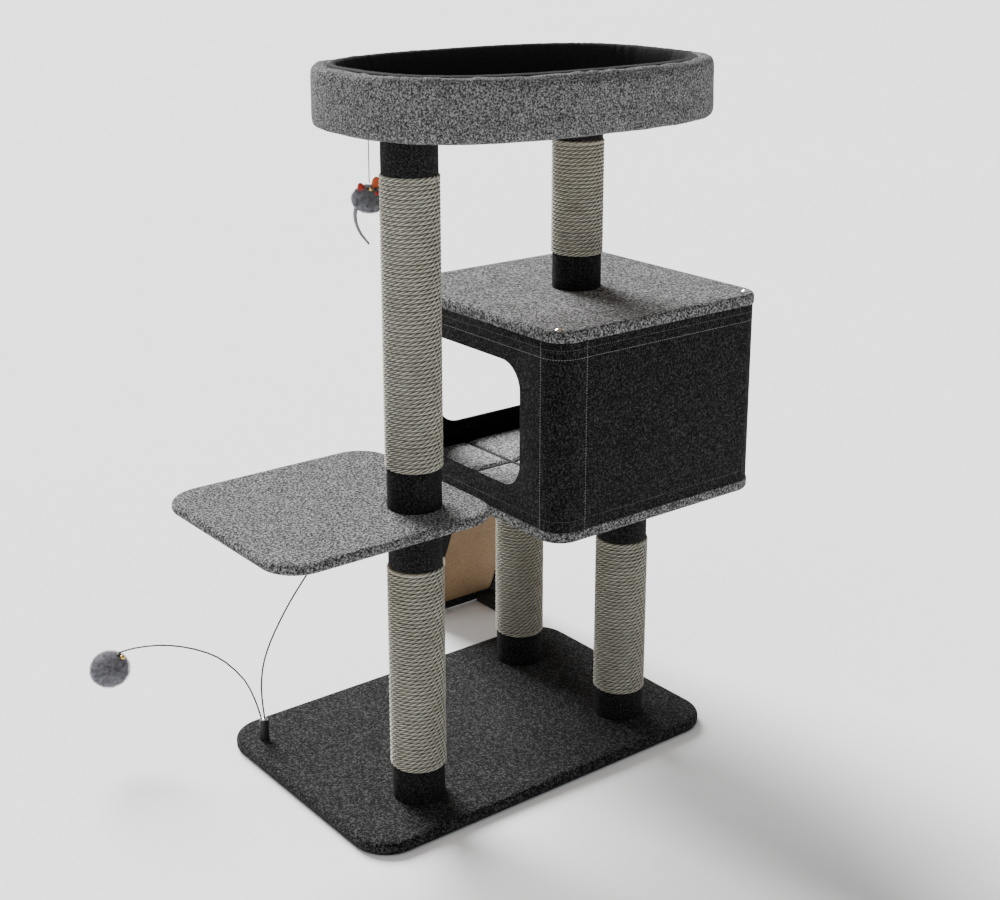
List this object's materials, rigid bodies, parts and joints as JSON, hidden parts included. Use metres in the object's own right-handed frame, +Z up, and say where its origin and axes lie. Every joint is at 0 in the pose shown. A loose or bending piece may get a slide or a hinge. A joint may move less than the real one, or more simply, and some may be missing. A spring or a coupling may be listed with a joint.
{
  "type": "cat tree",
  "caption": "Free-standing cat tree: felt-covered base, sisal-wound posts, side shelf, box condo with ramp, oval padded perch on top and two kinds of dangling toys.",
  "frame": {"origin": "centre of the base's underside, on the floor", "axes": "+Z up, +X along the base's long side from the shelf towards the condo, +Y from the front towards the ramp"},
  "size_m": [1.0217, 0.7141, 1.1661],
  "materials": {
    "dark_felt": "dark charcoal needle felt flecked with grey fibres",
    "light_felt": "mottled mid-grey needle felt",
    "wall_felt": "dark charcoal felt with pale stitching",
    "mat_felt": "quilted light grey felt with dark sewn channels",
    "collar_felt": "near-black felt band",
    "sisal_rope": "three-strand natural sisal rope, wound tight",
    "raw_board": "raw brown fibreboard",
    "dowel_wood": "plain softwood",
    "cardboard": "spiral-wound cardboard tube",
    "zinc_bolt": "zinc-plated steel",
    "bright_screw": "bright plated steel",
    "black_plush": "short black plush",
    "black_plastic": "matt black",
    "spring_wire": "black coated spring steel",
    "grey_fur": "fluffy grey faux fur",
    "toy_cord": "thin grey braided cord",
    "mouse_plush": "short grey plush"
  },
  "bodies": {
    "root": {"base_board": "raw_board", "base_cover": "dark_felt", "shelf_board": "raw_board", "shelf_cover": "light_felt", "condo_floor_board": "raw_board", "condo_floor_cover": "light_felt", "condo_roof_board": "raw_board", "condo_roof_cover": "light_felt", "condo_wall": "wall_felt", "roof_screw_1": "bright_screw", "roof_screw_2": "bright_screw", "roof_screw_3": "bright_screw", "roof_screw_4": "bright_screw", "corner_dowel_1": "dowel_wood", "corner_dowel_2": "dowel_wood", "corner_dowel_3": "dowel_wood", "corner_dowel_4": "dowel_wood", "post_a_lower_tube": "cardboard", "post_a_lower_rope": "sisal_rope", "post_a_lower_collar_low": "collar_felt", "post_a_lower_collar_top": "collar_felt", "post_a_upper_tube": "cardboard", "post_a_upper_rope": "sisal_rope", "post_a_upper_collar_low": "collar_felt", "post_a_upper_collar_top": "collar_felt", "post_b_tube": "cardboard", "post_b_rope": "sisal_rope", "post_b_collar_low": "collar_felt", "post_b_collar_top": "collar_felt", "post_c_tube": "cardboard", "post_c_rope": "sisal_rope", "post_c_collar_low": "collar_felt", "post_c_collar_top": "collar_felt", "post_d_tube": "cardboard", "post_d_rope": "sisal_rope", "post_d_collar_low": "collar_felt", "post_d_collar_top": "collar_felt", "base_bolt_a": "zinc_bolt", "base_bolt_b": "zinc_bolt", "base_bolt_c": "zinc_bolt", "shelf_stud": "zinc_bolt", "floor_bolt_b": "zinc_bolt", "floor_bolt_c": "zinc_bolt", "roof_bolt": "zinc_bolt", "perch_bolt_a": "zinc_bolt", "perch_bolt_d": "zinc_bolt", "perch_board": "raw_board", "perch_bolster": "light_felt", "perch_cushion": "black_plush", "wand_holder": "black_plastic"},
    "wand_1": {"wand_wire_1": "spring_wire", "pompom_1": "grey_fur"},
    "wand_2": {"wand_wire_2": "spring_wire", "pompom_2": "grey_fur"},
    "mouse_string": {"mouse_cord": "toy_cord"},
    "mouse": {"mouse_body": "mouse_plush"},
    "ramp": {"ramp_board": "raw_board", "ramp_cover": "dark_felt", "ramp_foot": "black_plastic"},
    "mat": {"condo_mat": "mat_felt"}
  },
  "joints": [
    {"name": "wand_1_bend", "type": "hinge", "parent": "root", "child": "wand_1", "pos_m": [-0.3172, 0.16643, 0.0563], "axis": [0.6058, 0.7956, 0], "range_deg": [-20, 40], "stiffness_Nm_per_rad": 3},
    {"name": "wand_2_bend", "type": "hinge", "parent": "root", "child": "wand_2", "pos_m": [-0.31039, 0.16878, 0.0563], "axis": [0.6058, 0.7956, 0], "range_deg": [-10, 25], "stiffness_Nm_per_rad": 3},
    {"name": "mouse_swing", "type": "hinge", "parent": "root", "child": "mouse_string", "pos_m": [-0.2045, -0.03, 1.0677], "axis": [0, 1, 0], "range_deg": [-50, 50]},
    {"name": "mouse_spin", "type": "hinge", "parent": "mouse_string", "child": "mouse", "pos_m": [-0.2045, -0.03, 0.9913], "axis": [0, 0, 1], "continuous": true},
    {"name": "ramp_swing", "type": "hinge", "parent": "root", "child": "ramp", "pos_m": [0.29, 0.2597, 0.405], "axis": [1, 0, 0], "range_deg": [0, 60]},
    {"name": "mat_lift", "type": "slide", "parent": "root", "child": "mat", "axis": [0, 0, 1], "range_m": [0, 0.06]}
  ]
}
